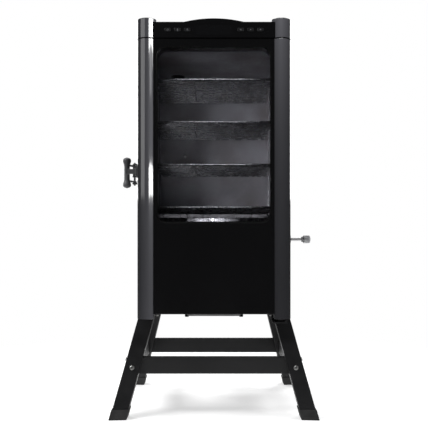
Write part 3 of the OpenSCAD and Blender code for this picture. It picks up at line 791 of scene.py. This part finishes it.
def button_icons():
    """A plain pictogram on each push button."""
    draws = {"power": draw_power, "temp": draw_temp, "time": draw_time, "light": draw_light,
             "up": lambda data, place: draw_arrow(data, place, 1),
             "down": lambda data, place: draw_arrow(data, place, -1)}
    for key, draw in draws.items():
        low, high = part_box(f"button_{key}")
        place = Vector(((low.x + high.x) / 2, low.y - 0.03 * MM, (low.z + high.z) / 2))
        data = bmesh.new()
        draw(data, place)
        piece_of(f"icon_{key}", data, f"key_{key}", "icon_print", smooth=False)


# ---------- stage, lights, camera ----------

def floor():
    """A pale round floor that fades into the white surround."""
    data = bmesh.new()
    bmesh.ops.create_circle(data, cap_ends=True, segments=96, radius=7.0)
    mesh = bpy.data.meshes.new("floor")
    data.to_mesh(mesh)
    data.free()
    made = bpy.data.objects.new("floor", mesh)
    bpy.context.scene.collection.objects.link(made)
    finish, tree, surface = shader("floor_pale")
    wire(tree, surface, Base_Color=(0.88, 0.88, 0.88), Roughness=0.75, Specular_IOR_Level=0.2,
         Emission_Color=(1, 1, 1), Emission_Strength=0.5)
    far = add(tree, "ShaderNodeVectorMath", {0: place_of(tree)}, operation="LENGTH").outputs["Value"]
    fade = spread(tree, far, 0, 1, 0.5, 1.5)
    both = add(tree, "ShaderNodeMixShader", {0: fade})
    tree.links.new(surface.outputs[0], both.inputs[1])
    tree.links.new(add(tree, "ShaderNodeBsdfTransparent").outputs[0], both.inputs[2])
    tree.links.new(both.outputs[0], tree.nodes["Material Output"].inputs["Surface"])
    mesh.materials.append(finish)


def surround():
    """White to the camera, softer grey for lighting and reflections."""
    world = bpy.data.worlds.new("surround")
    bpy.context.scene.world = world
    world.use_nodes = True
    tree = world.node_tree
    seen = add(tree, "ShaderNodeLightPath").outputs["Is Camera Ray"]
    colour = mixed(tree, seen, (0.06, 0.06, 0.063), (1.0, 1.0, 1.0))
    tree.links.new(colour, tree.nodes["Background"].inputs["Color"])


def softbox(name, place, target, width, height, power, only=(), never=()):
    """A rectangular lamp aimed at a point. Flags can keep it to some pieces, or off some pieces."""
    lamp = bpy.data.lights.new(name, "AREA")
    lamp.shape = "RECTANGLE"
    lamp.size, lamp.size_y = width, height
    lamp.energy = power
    made = bpy.data.objects.new(name, lamp)
    bpy.context.scene.collection.objects.link(made)
    made.location = place
    made.rotation_mode = "QUATERNION"
    made.rotation_quaternion = (Vector(target) - Vector(place)).to_track_quat("-Z", "Y")
    made.visible_camera = False
    if only or never:
        flagged = bpy.data.collections.new(f"{name}_pieces")
        for piece in only or never:
            flagged.objects.link(piece)
        made.light_linking.receiver_collection = flagged
        if never:
            for piece in flagged.collection_objects:
                piece.light_linking.link_state = "EXCLUDE"
    return made


INSIDE = ("inner_liner", "rack_rails", "drip_tray", "chip_housing", "temp_probe", "heating_element",
          "loader_scoop", "face_frame")


def lights():
    """Soft general light from all sides, and flagged lamps for the window, the racks and the columns."""
    middle = (CAD_BOX[0] + CAD_BOX[1]) / 2
    nodes, made = frame["nodes"], bpy.data.objects
    inside = [nodes[name] for name in INSIDE]
    racks = [nodes[f"rack_{level}"] for level in LEVELS]
    rails = [made[f"rack_{level}_front_rail"] for level in LEVELS]
    bowl = [made["water_bowl_pressed"]]
    left = [nodes["door_column_left"], made["column_top_left"]]
    right = [nodes["door_column_right"], made["column_top_right"]]
    softbox("key_left", (-2.2, -1.0, 2.5), (0, 0, 1.1), 1.4, 1.0, 60, never=left + right)
    softbox("fill_right", (2.4, -0.8, 2.2), middle, 1.2, 1.0, 22, never=right)
    softbox("top", (0.0, 0.6, 2.9), middle, 2.2, 2.2, 40)
    softbox("back_left", (-1.6, 2.4, 1.6), middle, 1.2, 1.6, 30)
    softbox("back_right", (1.6, 2.4, 1.6), middle, 1.2, 1.6, 30)
    softbox("window_front", (-0.5, -2.4, 0.35), (0, 0.1, 0.85), 1.4, 0.5, 9, inside)
    softbox("window_left", (-1.1, -1.9, 0.95), (0.16, 0.1, 0.85), 0.9, 1.1, 66, inside)
    softbox("ceiling", (-0.2, -1.3, 0.15), (0, 0, 1.06), 1.0, 0.3, 14, [nodes["inner_liner"]])
    softbox("rack_wires", (-0.9, -2.4, 0.45), (0.1, 0, 0.8), 1.6, 1.0, 18, racks)
    softbox("rack_edges", (0, -2.0, 1.6), (0, -0.17, 0.8), 1.8, 1.8, 42, rails)
    softbox("bowl_glint", (-0.065, -2.6, 0.58), (-0.065, 0, 0.57), 0.23, 0.10, 7.0, bowl)
    softbox("bowl_fill", (-1.1, -1.9, 0.95), (0, 0, 0.57), 0.9, 1.1, 8, bowl)
    softbox("shelf_fill", (0.5, -2.2, 0.85), (0, 0, 0.57), 1.6, 0.6, 3.5, [nodes["bowl_shelf"]])
    softbox("column_side", (-2.2, -1.9, 1.9), (0, 0, 1.0), 2.6, 2.2, 48, left)
    softbox("column_front", (1.6, -2.0, 2.1), (-0.2, -0.22, 1.1), 1.2, 1.2, 13, left)
    softbox("column_glint_high", (1.45, -1.7, 1.90), (-0.19, -0.25, 1.12), 2.0, 0.32, 70, left)
    softbox("column_glint_low", (1.45, -1.7, 0.90), (-0.19, -0.25, 0.66), 2.0, 0.19, 40, left)
    softbox("column_right_top", (0.15, -0.75, 1.75), (0.21, -0.22, 1.10), 0.5, 0.4, 30, right)


def camera():
    """Straight on and slightly below the middle, as the smoker is seen."""
    low, high = CAD_BOX
    height_share = 0.93
    data = bpy.data.cameras.new("camera")
    made = bpy.data.objects.new("camera", data)
    bpy.context.scene.collection.objects.link(made)
    eye_height = 0.49
    distance = 1.85
    shown = (high.z - low.z) / height_share
    made.location = (0, low.y - distance, eye_height)
    made.rotation_euler = (math.radians(90), 0, 0)
    data.sensor_width = 36
    data.lens = data.sensor_width * distance / shown
    data.shift_y = ((low.z + high.z) / 2 - eye_height) / shown
    data.clip_start, data.clip_end = 0.05, 60
    bpy.context.scene.camera = made


def main():
    """Finishes the CAD nodes, adds the made pieces, then the studio."""
    bpy.context.scene.view_settings.view_transform = "Standard"
    finish_cad_nodes()
    water_bowl()
    latch_lever()
    loader_knob()
    door_seal()
    stand_bolts()
    back_screws()
    side_screws()
    door_pan_screws()
    column_tops()
    rack_front_rails()
    button_icons()
    floor()
    surround()
    lights()
    camera()


main()
